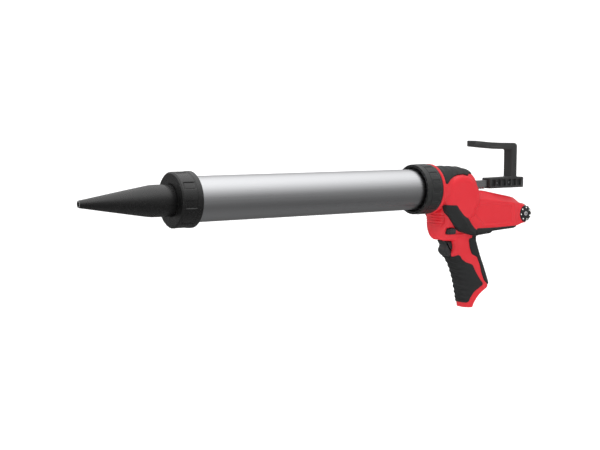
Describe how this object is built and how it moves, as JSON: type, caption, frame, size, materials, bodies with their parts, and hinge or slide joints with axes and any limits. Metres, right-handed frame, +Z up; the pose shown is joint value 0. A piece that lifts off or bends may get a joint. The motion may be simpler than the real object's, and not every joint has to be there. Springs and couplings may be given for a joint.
{
  "type": "caulking gun",
  "caption": "Cordless caulking gun: long aluminium barrel with cone nozzle, red motor case, rubber grip, trigger, speed dial and a toothed rod with a pull handle.",
  "frame": {"origin": "middle of the hand grip, where the hand holds the tool", "axes": "+X back along the barrel from the nozzle to the pull handle, +Y to the tool's right, +Z up"},
  "size_m": [0.6935, 0.069, 0.2355],
  "materials": {
    "red_plastic": "satin moulded",
    "black_rubber": "matt overmould",
    "black_plastic": "satin moulded",
    "barrel_aluminium": "brushed",
    "steel": "machined",
    "brass": "machined"
  },
  "bodies": {
    "tool": {"case_left": "red_plastic", "case_right": "red_plastic", "case_screw_0": "steel", "case_screw_1": "steel", "case_screw_2": "steel", "case_screw_3": "steel", "case_screw_4": "steel", "barrel_spigot": "steel", "top_pad": "black_rubber", "front_grip": "black_rubber", "rear_grip": "black_rubber", "underside_pad": "black_rubber", "side_band_left": "black_rubber", "side_band_right": "black_rubber", "rack_guide_front": "brass", "rack_guide_rear": "brass", "bearing_plate_left": "steel", "bearing_plate_right": "steel", "drive_bush_left": "brass", "drive_bush_right": "brass", "idler_bush_left": "brass", "idler_bush_right": "brass", "gearbox": "black_plastic", "motor": "steel", "switch_body": "black_plastic", "battery_terminals": "black_plastic", "control_board": "black_plastic", "dial_bracket": "black_plastic", "trigger_spring": "steel"},
    "rod": {"rack": "steel", "plunger_plate": "steel", "plunger_cup": "black_rubber", "plunger_bolt": "steel", "pull_handle": "black_plastic", "handle_pin_0": "steel", "handle_pin_1": "steel"},
    "drive_shaft": {"drive_axle": "steel", "rack_pinion": "steel", "drive_gear": "steel"},
    "idler_shaft": {"idler_axle": "steel", "idler_pinion": "steel", "bevel_wheel": "steel"},
    "motor_shaft": {"bevel_pinion": "steel"},
    "trigger": {"trigger": "black_plastic"},
    "lock_button": {"lock_button": "black_plastic"},
    "speed_dial": {"dial_wheel_left": "black_plastic", "dial_wheel_right": "black_plastic", "dial_pin": "steel"},
    "barrel": {"barrel_tube": "barrel_aluminium", "barrel_ferrule": "steel"},
    "collar": {"collar": "black_plastic"},
    "nozzle": {"nozzle": "black_plastic", "nozzle_seal": "black_rubber"},
    "front_cap": {"front_cap": "black_plastic"}
  },
  "joints": [
    {"name": "rod_slide", "type": "slide", "parent": "tool", "child": "rod", "axis": [1, 0, 0], "range_m": [-0.01, 0.33]},
    {"name": "drive_turn", "type": "hinge", "parent": "tool", "child": "drive_shaft", "pos_m": [-0.021, 0, 0.106], "axis": [0, 1, 0], "continuous": true},
    {"name": "idler_turn", "type": "hinge", "parent": "tool", "child": "idler_shaft", "pos_m": [0.0034, 0, 0.0816], "axis": [0, 1, 0], "continuous": true},
    {"name": "motor_turn", "type": "hinge", "parent": "tool", "child": "motor_shaft", "pos_m": [0.0174, 0, 0.0816], "axis": [1, 0, 0], "continuous": true},
    {"name": "trigger_pull", "type": "slide", "parent": "tool", "child": "trigger", "axis": [1, 0, 0], "range_m": [0, 0.0065], "stiffness_N_per_m": 600, "springref_m": -0.006, "deforming": ["trigger_spring"]},
    {"name": "lock_slide", "type": "slide", "parent": "tool", "child": "lock_button", "axis": [0, 1, 0], "range_m": [0, 0.004]},
    {"name": "dial_turn", "type": "hinge", "parent": "tool", "child": "speed_dial", "pos_m": [0.11, 0, 0.079], "axis": [0, 1, 0], "range_deg": [-120, 120]},
    {"name": "barrel_off", "type": "slide", "parent": "tool", "child": "barrel", "axis": [-1, 0, 0], "range_m": [0, 0.4]},
    {"name": "collar_turn", "type": "hinge", "parent": "barrel", "child": "collar", "pos_m": [-0.078, 0, 0.12], "axis": [1, 0, 0], "continuous": true},
    {"name": "nozzle_off", "type": "slide", "parent": "barrel", "child": "nozzle", "axis": [-1, 0, 0], "range_m": [0, 0.06]},
    {"name": "cap_turn", "type": "hinge", "parent": "nozzle", "child": "front_cap", "pos_m": [-0.448, 0, 0.12], "axis": [1, 0, 0], "continuous": true}
  ],
  "couplings": [
    {"joint": "drive_turn", "follows": "rod_slide", "rad_per_m": 83.333},
    {"joint": "idler_turn", "follows": "rod_slide", "rad_per_m": -190.48},
    {"joint": "motor_turn", "follows": "rod_slide", "rad_per_m": -380.95}
  ]
}
